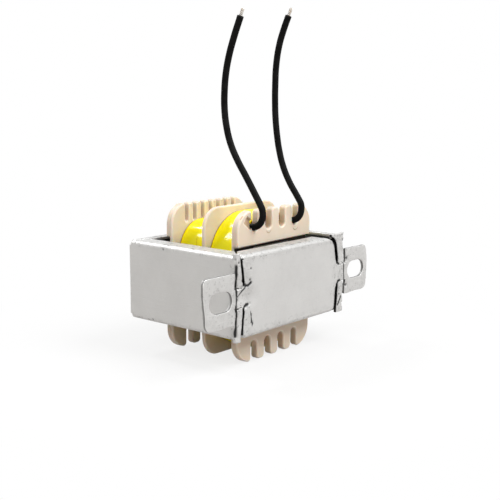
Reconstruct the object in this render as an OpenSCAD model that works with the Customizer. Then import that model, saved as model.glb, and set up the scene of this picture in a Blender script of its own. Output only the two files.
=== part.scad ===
// Small mains transformer: a core of E and I sheets held in a folded sheet frame,
// with a two-section moulded bobbin, two taped windings and a pair of flying leads.
// X runs along the base plate, Y from the base plate to the back, and Z is up.
// The origin is the middle of the footprint, level with the bobbin's lower edges.

/* [Core] */
// Width of a sheet across its three legs
lam_w = 41; // [39:0.5:44]
// Depth of an E and an I sheet laid together
lam_d = 33; // [31:0.5:36]
// Width of the centre leg
leg_w = 13; // [11:0.5:14]
// Width of the outer legs and of both yokes
yoke_w = 6; // [5.5:0.25:6.5]
// Height of the stack of sheets
stack_h = 17.5; // [14.5:0.5:20.5]
// Thickness of one sheet, of which the stack holds a whole number
sheet_t = 0.5; // [0.35, 0.5]

/* [Frame] */
// Thickness of the tinned sheet
strap_t = 0.8; // [0.6:0.1:1]
// Outer radius of every fold in the frame
fold_r = 1.05; // [1.05:0.05:1.15]
// Reach of the lips on the two legs, from the outer face
side_lip = 4.8; // [4.3:0.1:5.5]
// Reach of the lips on the back, from the outer face
back_lip = 3.2; // [2.5:0.1:4]
// Reach of the lips on the base plate, from its front face
plate_lip = 4.2; // [3.8:0.1:5]
// Gap between neighbouring lips
lip_seam = 0.4; // [0.2:0.1:0.8]
// Radius of the base plate's corners
plate_r = 1.6; // [0.8:0.1:2]

/* [Claws and necks] */
// Mean width of the claws at the necks, from the outer faces of the legs
claw_w = 2.7; // [2.6:0.05:2.8]
// Width of the slit between a claw and the base plate
claw_gap = 0.65; // [0.5:0.05:0.8]
// How far the slits sit to the left at the necks
slit_shift = 0.4; // [0:0.05:0.45]
// How far the upper slits lean to the left, from the necks to the frame's edge
upper_lean = 1; // [0:0.1:1]
// How far the lower slits lean to the left, from the necks to the frame's edge
lower_lean = 0.6; // [0:0.1:1]
// How far a claw stands past the frame's edge
claw_over = 0.5; // [0:0.1:1]
// Height of the neck that joins an ear to the base plate
neck_h = 4.8; // [4:0.1:5.5]
// Bevel on the neck that the claws are staked over
neck_bevel = 0.35; // [0.2:0.05:0.5]
// Radius at the root of the neck
neck_r = 0.6; // [0.3:0.05:0.6]

/* [Ears] */
// Length of an ear along X
ear_len = 10; // [9:0.5:12]
// Height of an ear
ear_h = 11.8; // [9:0.2:13]
// Radius of an ear's outer corners
ear_r = 1.6; // [0.8:0.1:2.5]
// Gap between an ear and the leg beside it
ear_gap = 0.5; // [0.3:0.1:0.8]
// Width of the mounting slot
slot_w = 4.6; // [3.5:0.1:5]
// Length of the mounting slot
slot_len = 7.4; // [6:0.1:7.6]
// Distance of the slot's middle from the ear's inner edge
slot_in = 4.6; // [4.2:0.1:5]

/* [Bobbin] */
// Wall of the tube around the centre leg
tube_wall = 0.8; // [0.6:0.1:1]
// Thickness of the end flanges inside the window
flange_t = 0.85; // [0.7:0.05:1.1]
// How far the end flanges thicken outwards above and below the frame
flange_pad = 1.2; // [0.6:0.05:1.4]
// Gap in height between the frame and the thickened part of the end flanges
pad_rise = 0.5; // [0.3:0.1:1.2]
// Thickness of the middle flange
mid_t = 1; // [0.8:0.1:1.4]
// Distance of the middle flange from the window's middle, towards the base plate
mid_shift = 0.7; // [0:0.1:1.5]
// How far the flanges stand above and below the frame
flange_rise = 8.5; // [7.8:0.1:9.2]
// Radius of the flange corners
flange_r = 5; // [4:0.25:5.5]
// Number of wide slots along a flange edge
wide_slots = 4; // [3:1:4]
// Pitch of the wide slots
wide_pitch = 5.2; // [4.8:0.1:5.4]
// Width of a wide slot
wide_w = 2.3; // [2:0.1:2.6]
// Depth of a wide slot
wide_depth = 5; // [4:0.1:5.2]
// Radius at the tips of the teeth beside wide slots
wide_tip = 1; // [0.5:0.1:1.2]
// Number of fine slots along the upper edge of the back flange
fine_slots = 7; // [5:1:7]
// Pitch of the fine slots
fine_pitch = 2.9; // [2.7:0.1:3]
// Width of a fine slot
fine_w = 1.2; // [1:0.1:1.4]
// Depth of a fine slot
fine_depth = 4.7; // [3.5:0.1:5]
// Radius at the tips of the teeth beside fine slots
fine_tip = 0.6; // [0.3:0.1:0.6]
// Width of the lead groove beside the first front slot
groove_w = 1.9; // [1.5:0.1:2.2]
// Depth of the lead groove
groove_depth = 0.6; // [0.3:0.1:0.8]
// Length of the lead groove
groove_len = 3; // [2.5:0.1:3.4]
// Slope of the lead groove, in degrees
groove_slope = 37; // [30:1:45]
// How far below the flange's edge the lead groove starts
groove_drop = 3.8; // [3.4:0.1:4]

/* [Windings] */
// Thickness of the wrapped tape
tape_t = 0.3; // [0.2:0.05:0.5]
// How far the front winding stops short of the flange at its sides
front_inset = 1.2; // [1:0.1:2.5]
// How far the front winding stops short of the flange above and below
front_drop = 1.3; // [0.8:0.1:2]
// Corner radius of the front winding
front_r = 12; // [9:0.5:12]
// How far the back winding stops short of the flange at its sides
rear_inset = 2.2; // [1.6:0.1:2.8]
// How far the back winding stops short of the flange above and below
rear_drop = 3.95; // [3.5:0.05:4.5]
// Corner radius of the back winding
rear_r = 8; // [6:0.5:9]

/* [Leads] */
// Outer diameter of a lead
lead_d = 1.6; // [1.3:0.1:1.8]
// Diameter of the tinned strands at a lead's end
tip_d = 0.8; // [0.6:0.1:1]
// Length of the tinned strands
tip_len = 2; // [1.5:0.5:5]

/* [Fits] */
// Gap between the core and the frame's walls
side_fit = 0.1; // [0.1:0.05:0.2]
// Gap between the stack and the frame's lips
stack_fit = 0.15; // [0.1:0.05:0.25]
// Gap between the bobbin's tube and the centre leg
leg_fit = 0.15; // [0.1:0.05:0.25]
// Gap between the bobbin's flanges and the window
window_fit = 0.4; // [0.2:0.05:0.5]
// Gap between the bobbin's ends and the yokes
end_fit = 0.15; // [0.1:0.05:0.25]
// Gap around the windings
coil_fit = 0.1; // [0.05:0.05:0.15]
// Gap between a neck and its claws
neck_fit = 0.1; // [0.05:0.05:0.2]

/* [Hidden] */
$fn = 64;
// How far a cutting shape reaches past the piece that it cuts
cut = 1;
// Overlap of neighbouring shapes in one outline
lap = 0.2;
sheet_count = round(stack_h / sheet_t);
frame_w = lam_w + 2 * (side_fit + strap_t);
frame_d = lam_d + 2 * (side_fit + strap_t);
frame_h = stack_h + 2 * (stack_fit + strap_t);
flange_w = lam_w - 2 * (yoke_w + window_fit);
flange_h = frame_h + 2 * flange_rise;
z_mid = flange_h / 2;
frame_z = z_mid - frame_h / 2;
left = -frame_w / 2;
front = -frame_d / 2;
back = frame_d / 2;
ear_in = frame_w / 2 + ear_gap;
slot_x = ear_in + slot_in;
tube_w = leg_w + 2 * (leg_fit + tube_wall);
tube_h = stack_h + 2 * (leg_fit + tube_wall);
bobbin_end = lam_d / 2 - yoke_w - end_fit;
front_wall = -bobbin_end + flange_t;
rear_wall = bobbin_end - flange_t;
mid_front = -mid_shift - mid_t / 2;
mid_rear = -mid_shift + mid_t / 2;
pad_z = frame_h / 2 + pad_rise;
lead_x = wide_pitch * (wide_slots - 1) / 2;
lead_sides = 8;
// Routes of the leads in the upright planes of the two outer slots, as Y and Z
left_route = [
  [-9.4, 32.3], [-10.6, 32.3], [-11.8, 32.5], [-12.9, 33.2], [-13.6, 34.3], [-13.8, 35.5],
  [-13.6, 36.7], [-13.1, 37.6], [-11.2, 40.4], [-8.6, 44.1], [-6, 47.7], [-3.8, 51.6],
  [-2.5, 55.7], [-1.9, 59.8], [-1.9, 63.9], [-2.3, 67.8], [-3.2, 71.7], [-4.6, 75.7], [-6.7, 80.7]
];
right_route = [
  [-9.4, 32.3], [-10.2, 32.3], [-11.4, 32.5], [-12.5, 33.2], [-13.2, 34.3], [-13.4, 35.5],
  [-13.2, 36.7], [-12.7, 37.5], [-11.9, 38.6], [-9.6, 41.7], [-7.6, 45.4], [-6.3, 49.3],
  [-5.5, 53.3], [-5, 57.3], [-4.8, 61.3], [-4.8, 65.3], [-5, 69.8], [-5.9, 74.8], [-7.3, 78.7], [-8.6, 81.6]
];

// Width of the claws on a side, -1 or 1, at the neck and at the frame's upper or lower edge
function claw_at_neck(side) = claw_w + side * slit_shift;
function claw_at_edge(side, up) = claw_at_neck(side) + side * (up > 0 ? upper_lean : lower_lean);

// X of the base plate's end beside a claw of this width
function plate_end(side, claw) = side * (frame_w / 2 - claw - claw_gap);

// Rectangle with four round corners
module rounded_rect(w, h, r) {
  square([w - 2 * r, h], center = true);
  square([w, h - 2 * r], center = true);
  for (x = [-1, 1], y = [-1, 1])
    translate([x * (w / 2 - r), y * (h / 2 - r)])
      circle(r);
}

// Outline through corners of X, Y and a radius; the corners with a radius stand out
module rounded_polygon(corners) {
  n = len(corners);
  at = [for (c = corners) [c[0], c[1]]];
  before = [for (i = [0:n - 1]) let (v = at[(i + n - 1) % n] - at[i]) v / norm(v)];
  after = [for (i = [0:n - 1]) let (v = at[(i + 1) % n] - at[i]) v / norm(v)];
  half = [for (i = [0:n - 1]) acos(before[i] * after[i]) / 2];
  polygon([for (i = [0:n - 1], v = corners[i][2] > 0 ? [before[i], after[i]] : [[0, 0]])
    at[i] + v * corners[i][2] / tan(half[i])]);
  for (i = [0:n - 1])
    if (corners[i][2] > 0)
      translate(at[i] + (before[i] + after[i]) / (2 * cos(half[i])) * corners[i][2] / sin(half[i]))
        circle(corners[i][2]);
}

// Slot with two round ends, along X
module obround(len, w) {
  square([len - w, w], center = true);
  for (x = [-1, 1])
    translate([x * (len - w) / 2, 0])
      circle(d = w);
}

// Extrudes an X and Z outline along Y, from y0 to y1
module across_y(y0, y1) {
  translate([0, y1, 0])
    rotate([90, 0, 0])
      linear_extrude(y1 - y0)
        children();
}

// Extrudes a Y and Z outline along X, from x0 to x1
module along_x(x0, x1) {
  translate([x0, 0, 0])
    rotate([90, 0, 90])
      linear_extrude(x1 - x0)
        children();
}

// Draws its children on the left and mirrors them to the right
module both_sides() {
  children();
  mirror([1, 0, 0])
    children();
}

// Outline whose two corners beside x = 0 are folded round
module fold_outline(w, h, r) {
  translate([r, 0])
    square([w - r, h]);
  translate([0, r])
    square([w, h - 2 * r]);
  for (y = [r, h - r])
    translate([r, y])
      circle(r);
}

// Section of folded sheet: a web at x = 0 with a lip along each edge
module channel(lip) {
  difference() {
    fold_outline(lip, frame_h, fold_r);
    translate([strap_t, strap_t])
      fold_outline(lip, frame_h - 2 * strap_t, fold_r - strap_t);
  }
}

// Quarter turn of folded sheet about an upright line
module upright_fold(x, y, turn, z0, z1) {
  translate([x, y, z0])
    rotate([0, 0, turn])
      rotate_extrude(angle = 90)
        translate([fold_r - strap_t, 0])
          square([strap_t, z1 - z0]);
}

// Upright prism over the whole frame, from a plan outline
module plan_prism(points) {
  translate([0, 0, frame_z - cut])
    linear_extrude(frame_h + 2 * cut)
      polygon(points);
}

// Extrudes a plan outline through the upper or the lower half of the frame
module half_prism(up) {
  translate([0, 0, up > 0 ? z_mid : frame_z - cut])
    linear_extrude(frame_h / 2 + cut)
      children();
}

// Face of the base plate, whose ends lean with the slits beside the claws
module plate_outline() {
  top = frame_h / 2;
  kink = neck_h / 2 + neck_r;
  ends = [for (side = [-1, 1]) plate_end(side, claw_at_neck(side))];
  rounded_polygon([
    [plate_end(-1, claw_at_edge(-1, -1)), -top, plate_r],
    [plate_end(1, claw_at_edge(1, -1)), -top, plate_r],
    [ends[1], -kink, 0], [ends[1], kink, 0],
    [plate_end(1, claw_at_edge(1, 1)), top, plate_r],
    [plate_end(-1, claw_at_edge(-1, 1)), top, plate_r],
    [ends[0], kink, 0], [ends[0], -kink, 0]
  ]);
}

// Plan of what the base plate's lips leave free for the lips of a leg on the left
module lip_corner(claw) {
  end_y = front + plate_lip + cut;
  polygon([
    [left - cut, front + fold_r], [left + claw + claw_gap, front + fold_r],
    [left + side_lip + claw_gap, front + plate_lip + lip_seam],
    [left + side_lip + claw_gap, end_y], [left - cut, end_y]
  ]);
}

// Base plate with a folded lip along each edge, and a neck and an ear at each end
module base_plate() {
  color("lightgray")
    union() {
      difference() {
        intersection() {
          along_x(left, -left)
            translate([front, frame_z])
              channel(plate_lip);
          across_y(front - cut, front + plate_lip + cut)
            translate([0, z_mid])
              plate_outline();
        }
        for (up = [-1, 1])
          half_prism(up) {
            lip_corner(claw_at_edge(-1, up));
            mirror([1, 0])
              lip_corner(claw_at_edge(1, up));
          }
      }
      neck(plate_end(-1, claw_at_neck(-1)));
      mirror([1, 0, 0])
        neck(-plate_end(1, claw_at_neck(1)));
      both_sides()
        ear();
    }
}

// Neck of the left ear from the plate's end, bevelled where the claws are staked over it
module neck(plate_x) {
  root = plate_x - neck_r;
  along_x(root, plate_x + lap)
    translate([front, z_mid - neck_h / 2])
      square([strap_t, neck_h]);
  along_x(-ear_in - lap, root)
    translate([front, z_mid])
      polygon([
        [0, -neck_h / 2 + neck_bevel], [strap_t, -neck_h / 2],
        [strap_t, neck_h / 2], [0, neck_h / 2 - neck_bevel]
      ]);
  for (side = [-1, 1])
    across_y(front, front + strap_t)
      translate([plate_x, z_mid + side * neck_h / 2])
        scale([-1, side])
          difference() {
            square(neck_r);
            translate([neck_r, neck_r])
              circle(neck_r);
          }
}

// Left ear with its mounting slot
module ear() {
  across_y(front, front + strap_t)
    difference() {
      translate([-ear_in - ear_len / 2, z_mid]) {
        rounded_rect(ear_len, ear_h, ear_r);
        translate([ear_len / 4, 0])
          square([ear_len / 2, ear_h], center = true);
      }
      translate([-slot_x, z_mid])
        obround(slot_len, slot_w);
    }
}

// Strap folded round the two sides and the back of the core
module u_strap() {
  color("silver")
    union() {
      strap_side(-1);
      mirror([1, 0, 0])
        strap_side(1);
      strap_back();
    }
}

// Leg, back fold and claws of a side, drawn on the left
module strap_side(side) {
  strap_leg(side);
  upright_fold(left + fold_r, back - fold_r, 90, frame_z + fold_r, frame_z + frame_h - fold_r);
  claw(claw_at_neck(side), claw_at_edge(side, -1));
  translate([0, 0, 2 * z_mid])
    mirror([0, 0, 1])
      claw(claw_at_neck(side), claw_at_edge(side, 1));
}

// Leg of the strap: its lips are cut back beside the base plate and the back
module strap_leg(side) {
  difference() {
    across_y(front + fold_r, back - fold_r)
      translate([left, frame_z])
        channel(side_lip);
    for (up = [-1, 1])
      half_prism(up)
        polygon([
          [left + claw_at_edge(side, up), front], [left + claw_at_edge(side, up), front + fold_r],
          [left + side_lip, front + plate_lip + lip_seam],
          [left + side_lip + cut, front + plate_lip + lip_seam], [left + side_lip + cut, front]
        ]);
    plan_prism([
      [left + side_lip + cut, back - back_lip - lip_seam],
      [left + side_lip, back - back_lip - lip_seam], [left + fold_r, back - fold_r - lip_seam],
      [left + fold_r, back], [left + side_lip + cut, back]
    ]);
  }
}

// Back of the strap
module strap_back() {
  intersection() {
    along_x(left + fold_r, -left - fold_r)
      translate([back, frame_z])
        mirror([1, 0])
          channel(back_lip);
    plan_prism([
      [left, back + cut], [left, back - strap_t], [left + fold_r + lip_seam, back - fold_r],
      [left + side_lip + lip_seam, back - back_lip], [-left - side_lip - lip_seam, back - back_lip],
      [-left - fold_r - lip_seam, back - fold_r], [-left, back - strap_t], [-left, back + cut]
    ]);
  }
}

// Lower left claw: it folds in beside the base plate and is staked over the neck
module claw(neck_w, edge_w) {
  z0 = frame_z - claw_over;
  z1 = z_mid - neck_h / 2 - neck_fit;
  kink = z_mid - neck_h / 2 - neck_r;
  upright_fold(left + fold_r, front + fold_r, 180, z0, z1);
  intersection() {
    along_x(left + fold_r, left + max(neck_w, edge_w) + cut)
      polygon([
        [front, z0], [front, z1 + neck_bevel], [front + strap_t, z1], [front + strap_t, z0]
      ]);
    across_y(front - cut, front + strap_t + cut)
      polygon([
        [left, z0 - cut], [left + edge_w, z0 - cut], [left + edge_w, frame_z], [left + neck_w, kink],
        [left + neck_w, z_mid], [left, z_mid]
      ]);
  }
}

// One E sheet with its yoke at the front
module e_outline() {
  window_w = (lam_w - leg_w) / 2 - yoke_w;
  difference() {
    translate([-lam_w / 2, -lam_d / 2])
      square([lam_w, lam_d - yoke_w]);
    for (x = [-lam_w / 2 + yoke_w, leg_w / 2])
      translate([x, -lam_d / 2 + yoke_w])
        square([window_w, lam_d]);
  }
}

// One I sheet at the back
module i_outline() {
  translate([-lam_w / 2, lam_d / 2 - yoke_w])
    square([lam_w, yoke_w]);
}

// Every second sheet of the stack, starting from a layer
module every_second_layer(first) {
  for (layer = [first:2:sheet_count - 1])
    translate([0, 0, z_mid - stack_h / 2 + layer * sheet_t])
      linear_extrude(sheet_t)
        children();
}

module e_sheets_front() {
  color("dimgray")
    every_second_layer(0)
      e_outline();
}

module e_sheets_back() {
  color("dimgray")
    every_second_layer(1)
      mirror([0, 1])
        e_outline();
}

module i_sheets_front() {
  color("dimgray")
    every_second_layer(1)
      mirror([0, 1])
        i_outline();
}

module i_sheets_back() {
  color("dimgray")
    every_second_layer(0)
      i_outline();
}

// Row of open slots in the upper edge of a flange, with round roots and round tooth tips
module slot_row(count, pitch, w, depth, tip) {
  tooth_w = pitch - w;
  root_z = flange_h / 2 - depth + w / 2;
  row_w = (count - 1) * pitch + w;
  difference() {
    translate([-row_w / 2, root_z])
      square([row_w, depth]);
    for (i = [0:count - 2])
      translate([(i + 1 - count / 2) * pitch, flange_h / 2 - depth / 2])
        rounded_rect(tooth_w, depth, tip);
    for (i = [0:count - 2])
      translate([(i + 1 - count / 2) * pitch - tooth_w / 2, root_z - lap])
        square([tooth_w, depth / 2]);
  }
  for (i = [0:count - 1])
    translate([(i + 0.5 - count / 2) * pitch, root_z])
      circle(d = w);
  for (side = [0, 1])
    mirror([side, 0])
      translate([row_w / 2, flange_h / 2 - tip])
        rounding(tip);
}

// What is cut from a corner to round it, with the corner at upper left
module rounding(r) {
  difference() {
    translate([-lap, 0])
      square([r + lap, r + lap]);
    translate([r, 0])
      circle(r);
  }
}

module wide_row() {
  slot_row(wide_slots, wide_pitch, wide_w, wide_depth, wide_tip);
}

module fine_row() {
  slot_row(fine_slots, fine_pitch, fine_w, fine_depth, fine_tip);
}

// End flange between the yokes, thicker above and below the core; children are its slot rows
module end_flange(y0, y1, pad_y0, pad_y1) {
  difference() {
    union() {
      across_y(y0, y1)
        rounded_rect(flange_w, flange_h, flange_r);
      across_y(pad_y0, pad_y1)
        difference() {
          rounded_rect(flange_w, flange_h, flange_r);
          square([flange_w + cut, 2 * pad_z], center = true);
        }
    }
    across_y(pad_y0 - cut, pad_y1 + cut)
      children();
  }
}

// Two-section bobbin: a square tube and three flanges
module bobbin() {
  pad_end = bobbin_end + flange_pad;
  color("antiquewhite")
    translate([0, 0, z_mid])
      difference() {
        union() {
          across_y(-bobbin_end, bobbin_end)
            square([tube_w, tube_h], center = true);
          across_y(mid_front, mid_rear)
            rounded_rect(flange_w, flange_h, flange_r);
          end_flange(-bobbin_end, front_wall, -pad_end, front_wall) {
            wide_row();
            mirror([0, 1])
              wide_row();
          }
          end_flange(rear_wall, bobbin_end, rear_wall, pad_end) {
            fine_row();
            mirror([0, 1])
              wide_row();
          }
        }
        across_y(-pad_end - cut, pad_end + cut)
          square([leg_w + 2 * leg_fit, stack_h + 2 * leg_fit], center = true);
        lead_groove(pad_end);
      }
}

// Blind groove in the front flange that runs up and out from the first slot
module lead_groove(pad_end) {
  across_y(-pad_end - cut, -pad_end + groove_depth)
    translate([-lead_x - wide_w / 2 + lap, flange_h / 2 - groove_drop])
      rotate(180 - groove_slope)
        translate([0, -groove_w / 2])
          square([groove_len, groove_w]);
}

// Outline of a winding that stops short of the flanges
module coil_outline(inset, drop, r, skin) {
  w = flange_w - 2 * (inset + skin);
  h = flange_h - 2 * (drop + skin);
  rounded_rect(w, h, min(r, w / 2 - lap) - skin);
}

// Winding around the bobbin's tube, from y0 to y1
module winding(y0, y1, inset, drop, r) {
  translate([0, 0, z_mid])
    across_y(y0 + coil_fit, y1 - coil_fit)
      difference() {
        coil_outline(inset, drop, r, tape_t);
        square([tube_w + 2 * coil_fit, tube_h + 2 * coil_fit], center = true);
      }
}

// Tape wrapped around a winding
module tape(y0, y1, inset, drop, r) {
  translate([0, 0, z_mid])
    across_y(y0 + coil_fit, y1 - coil_fit)
      difference() {
        coil_outline(inset, drop, r, 0);
        coil_outline(inset, drop, r, tape_t);
      }
}

module front_winding() {
  color("peru")
    winding(front_wall, mid_front, front_inset, front_drop, front_r);
}

module rear_winding() {
  color("peru")
    winding(mid_rear, rear_wall, rear_inset, rear_drop, rear_r);
}

module front_tape() {
  color("gold")
    tape(front_wall, mid_front, front_inset, front_drop, front_r);
}

module rear_tape() {
  color("gold")
    tape(mid_rear, rear_wall, rear_inset, rear_drop, rear_r);
}

// Direction of a route at one of its points
function heading(route, i) =
  let (a = route[max(i - 1, 0)], b = route[min(i + 1, len(route) - 1)])
  (b - a) / norm(b - a);

// Ring of points around a route's point, square to its direction
function ring(x, route, i) =
  let (p = route[i], d = heading(route, i), r = lead_d / 2)
  [for (k = [0:lead_sides - 1])
    let (a = 360 * k / lead_sides)
    [x + r * cos(a), p[0] + r * sin(a) * d[1], p[1] - r * sin(a) * d[0]]];

// Lead swept along its route in an upright plane
module lead(x, route) {
  last = len(route) - 1;
  points = [for (i = [0:last]) each ring(x, route, i)];
  sides = [for (i = [0:last - 1], k = [0:lead_sides - 1])
    let (n = (k + 1) % lead_sides)
    [i * lead_sides + k, (i + 1) * lead_sides + k, (i + 1) * lead_sides + n, i * lead_sides + n]];
  start_cap = [for (k = [0:lead_sides - 1]) k];
  end_cap = [for (k = [lead_sides - 1:-1:0]) last * lead_sides + k];
  polyhedron(points, concat(sides, [start_cap, end_cap]));
}

module left_lead() {
  color("black")
    lead(-lead_x, left_route);
}

module right_lead() {
  color("black")
    lead(lead_x, right_route);
}

// Bare strands standing out of the end of a lead
module tinned_end(x, route) {
  last = len(route) - 1;
  d = heading(route, last);
  translate([x, route[last][0], route[last][1]])
    rotate([atan2(-d[0], d[1]), 0, 0])
      cylinder(h = tip_len, d = tip_d);
}

module tinned_ends() {
  color("whitesmoke") {
    tinned_end(-lead_x, left_route);
    tinned_end(lead_x, right_route);
  }
}

base_plate();
u_strap();
e_sheets_front();
e_sheets_back();
i_sheets_front();
i_sheets_back();
bobbin();
front_winding();
rear_winding();
front_tape();
rear_tape();
left_lead();
right_lead();
tinned_ends();
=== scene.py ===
"""Looks of a small mains transformer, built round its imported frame.

Sizes are in millimetres and angles in degrees until they reach Blender, which works in metres.
X runs along the base plate, Y from the base plate to the back, and Z is up.
"""

import math

import bmesh
import bpy
from mathutils import Matrix, Vector, noise


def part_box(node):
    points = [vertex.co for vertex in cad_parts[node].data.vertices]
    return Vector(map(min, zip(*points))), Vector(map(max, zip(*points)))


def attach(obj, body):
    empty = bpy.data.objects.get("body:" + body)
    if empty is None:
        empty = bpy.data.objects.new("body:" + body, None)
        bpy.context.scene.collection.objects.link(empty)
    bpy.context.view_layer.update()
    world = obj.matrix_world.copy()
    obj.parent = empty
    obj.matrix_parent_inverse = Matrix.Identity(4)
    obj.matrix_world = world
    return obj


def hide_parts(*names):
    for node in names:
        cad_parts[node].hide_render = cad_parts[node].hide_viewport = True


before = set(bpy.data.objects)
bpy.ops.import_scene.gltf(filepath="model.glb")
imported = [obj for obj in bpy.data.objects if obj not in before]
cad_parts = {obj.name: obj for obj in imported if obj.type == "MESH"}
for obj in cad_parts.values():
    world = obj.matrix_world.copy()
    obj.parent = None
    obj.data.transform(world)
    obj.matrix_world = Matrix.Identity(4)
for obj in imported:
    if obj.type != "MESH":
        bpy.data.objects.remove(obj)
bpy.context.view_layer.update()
MM = 0.001

# Without a fixed seed, noise vectors start from the clock
NOISE_SEED = 7
noise.seed_set(NOISE_SEED)

# The camera, as the photograph was taken: its picture is square and this many pixels wide
PICTURE_PX = 500
FOCAL_PX = 927.5
SENSOR = 36
CAMERA_AT = (-174.4, -147.7, 64.5)
CAMERA_YAW = 50.43
CAMERA_PITCH = 9.91
CAMERA_ROLL = 0.42

# The leads: each lies in an upright plane at X, along a route of Y and Z
LEAD_D = 1.6
LEAD_X = 7.8
LEFT_ROUTE = (
    (-9.4, 32.3), (-10.6, 32.3), (-11.8, 32.5), (-12.9, 33.2), (-13.6, 34.3), (-13.8, 35.5),
    (-13.6, 36.7), (-13.1, 37.6), (-11.2, 40.4), (-8.6, 44.1), (-6, 47.7), (-3.8, 51.6), (-2.5, 55.7),
    (-1.9, 59.8), (-1.9, 63.9), (-2.3, 67.8), (-3.2, 71.7), (-4.6, 75.7), (-6.7, 80.7),
)
RIGHT_ROUTE = (
    (-9.4, 32.3), (-10.2, 32.3), (-11.4, 32.5), (-12.5, 33.2), (-13.2, 34.3), (-13.4, 35.5),
    (-13.2, 36.7), (-12.7, 37.5), (-11.9, 38.6), (-9.6, 41.7), (-7.6, 45.4), (-6.3, 49.3), (-5.5, 53.3),
    (-5, 57.3), (-4.8, 61.3), (-4.8, 65.3), (-5, 69.8), (-5.9, 74.8), (-7.3, 78.7), (-8.6, 81.6),
)
# Bare strands at a lead's end: six round a seventh, and how far they are twisted
TIP_D = 0.8
TIP_LEN = 2
STRANDS = 7
STRAND_TWIST = 150

# Edge rounding of the rigid pieces, on edges sharper than an angle
SHEET_EDGE = 0.13
NYLON_EDGE = 0.4
CORE_EDGE = 0.06
SHARP = 40
# Corners blunter than that, beside which a wide rounding folds over and is welded within a reach
BLUNT = 20
WELD_REACH = 0.7
WELD = 0.06

# The folded sheet: its thickness and fold radius
SHEET_T = 0.8
FOLD_R = 1.05
# Pitch of the cuts that let the sheet dent, and the finer one of its ends, from an X on
DENT_PITCH = 0.6
CLAW_PITCH = 0.2
CLAW_START = 15.4
# Dents of the sheet: size of the waves and their depth, over all of it and where it was crimped
WAVES = (13, 0.07)
CRIMP_WAVES = ((1.9, 0.14, (7, 3, 1)), (0.6, 0.035, (2, 9, 4)))
# X from which the crimping shows, and from which it is full
CRIMPED = (16.2, 18.5)
# Height of the ears' lower and upper edges
EAR_LOW = 12.3
EAR_HIGH = 24.1

# Slits between the claws and the base plate: X and Z at the neck and at the frame's edge, and width
SLITS = (
    ((-18.78, 21.2), (-19.78, 27.9)), ((-18.78, 15.2), (-19.38, 8.5)),
    ((17.98, 21.2), (16.98, 27.9)), ((17.98, 15.2), (17.38, 8.5)),
)
SLIT_W = 0.65
# Creases in the front of the frame: points of X and Z, half width and depth
CREASES = (
    (((-18.6, 21.2), (-18.0, 20.75), (-17.1, 20.75), (-16.2, 21.2)), 0.46, 0.4),
    (((-18.7, 15.3), (-18.3, 15.9), (-17.7, 16.25), (-16.9, 16.3)), 0.42, 0.35),
    (((-17.9, 20.6), (-19.4, 19.6), (-20.8, 18.6)), 0.26, 0.22),
    (((-21.3, 20.9), (-21.0, 17.8), (-21.4, 15.4)), 0.4, 0.4),
    (((21.0, 20.9), (21.2, 15.3)), 0.24, 0.16),
    (((17.9, 21.6), (18.1, 20.9), (18.8, 20.6)), 0.4, 0.3),
    (((17.9, 14.6), (18.1, 15.5), (18.6, 16.1), (19.5, 16.3)), 0.4, 0.3),
    (((18.6, 9.9), (20.0, 11.9)), 0.34, 0.3),
    (((-16.4, 14.7), (-15.9, 12.6), (-15.6, 11.0)), 0.16, 0.06),
    (((-16.0, 14.2), (-16.1, 11.9)), 0.14, 0.05),
)
# Punch marks in the front of the frame: X, Z, radius and depth
PUNCHES = (
    (-16.5, 21.95, 0.5, 0.3), (-16.3, 24.5, 0.42, 0.18), (-19.2, 22.0, 0.42, 0.22),
    (-20.5, 26.3, 0.4, 0.2), (-19.0, 26.9, 0.35, 0.15), (20.6, 26.6, 0.6, 0.35),
    (19.2, 12.6, 0.4, 0.2), (22.5, 21.6, 0.7, 0.4), (21.7, 20.9, 0.5, 0.3),
    (22.5, 14.6, 0.65, 0.4), (20.6, 10.2, 0.5, 0.3),
)
# Handling marks on the sides of the frame: side, Y, Z, radius and depth
SIDE_MARKS = (
    (-1, 15.9, 17.9, 0.5, 0.2), (-1, 16.2, 12.2, 0.45, 0.16), (-1, 5.4, 26.9, 0.5, 0.14),
    (-1, 16.0, 9.6, 0.4, 0.15), (-1, 9.0, 9.3, 0.45, 0.12), (1, 14.8, 21.3, 0.5, 0.16),
    (1, -9.2, 10.4, 0.45, 0.14), (1, 3.1, 26.7, 0.4, 0.12),
)
# Marks and creases are darkened up to this many times their radius or half width
MARK_REACH = 1.6
# Split along the fold of the left claws: turn round the fold, half width and flare in degrees, and depth
SPLIT_TURN = 40
SPLIT_W = 9
SPLIT_FLARE = 11
SPLIT_DEPTH = 0.22
# Hollow round the left neck, where the press sank the plate: X, Z, half width, half height and depth
NECK_HOLLOW = (-17.6, 17.9, 5.2, 3.4, 0.5)
# Right upper corner, cut round from a height up: how far the plate, the claw and the strap's lip give way
CORNER_FROM = 24.4
PLATE_ROUND = 3.0
CLAW_ROUND = 2.1
LIP_BACK = 2.4
# X between which each of them takes up that move, and Y between which the lip's move fades
PLATE_BENDS = (7, 16.5)
CLAW_BENDS = (17, 20.6)
LIP_BENDS = (16.6, 21.2)
LIP_FADES = (-9, 3)
# How far the slits beside the right claws are drawn open on each side, and where the sheet takes it up
SLIT_DRAWN = 0.24
CLAW_DRAWN = (17.4, 20)
PLATE_DRAWN = (12, 16.6)
# Knocks in the fold of the right claws: Z, half height and depth
KNOCKS = (
    (27.7, 0.6, 0.35), (25.4, 1.2, 0.3), (22.4, 0.6, 0.25), (12.4, 0.9, 0.25), (9.7, 0.7, 0.35),
)
# How far the left ear is bent back at its upper corner and in at its lower one
EAR_BACK = 0.5
EAR_IN = 0.4

# The bobbin's flanges between the yokes, whose faces are painted near-black as shade: how far out their
# faces lie
BETWEEN_YOKES = 10.2
# Sag of the front pad's lower edge: in the middle, its change along X, and how far up it reaches
PAD_SAG = 0.31
PAD_SLOPE = 0.009
PAD_REACH = 2.6
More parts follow.
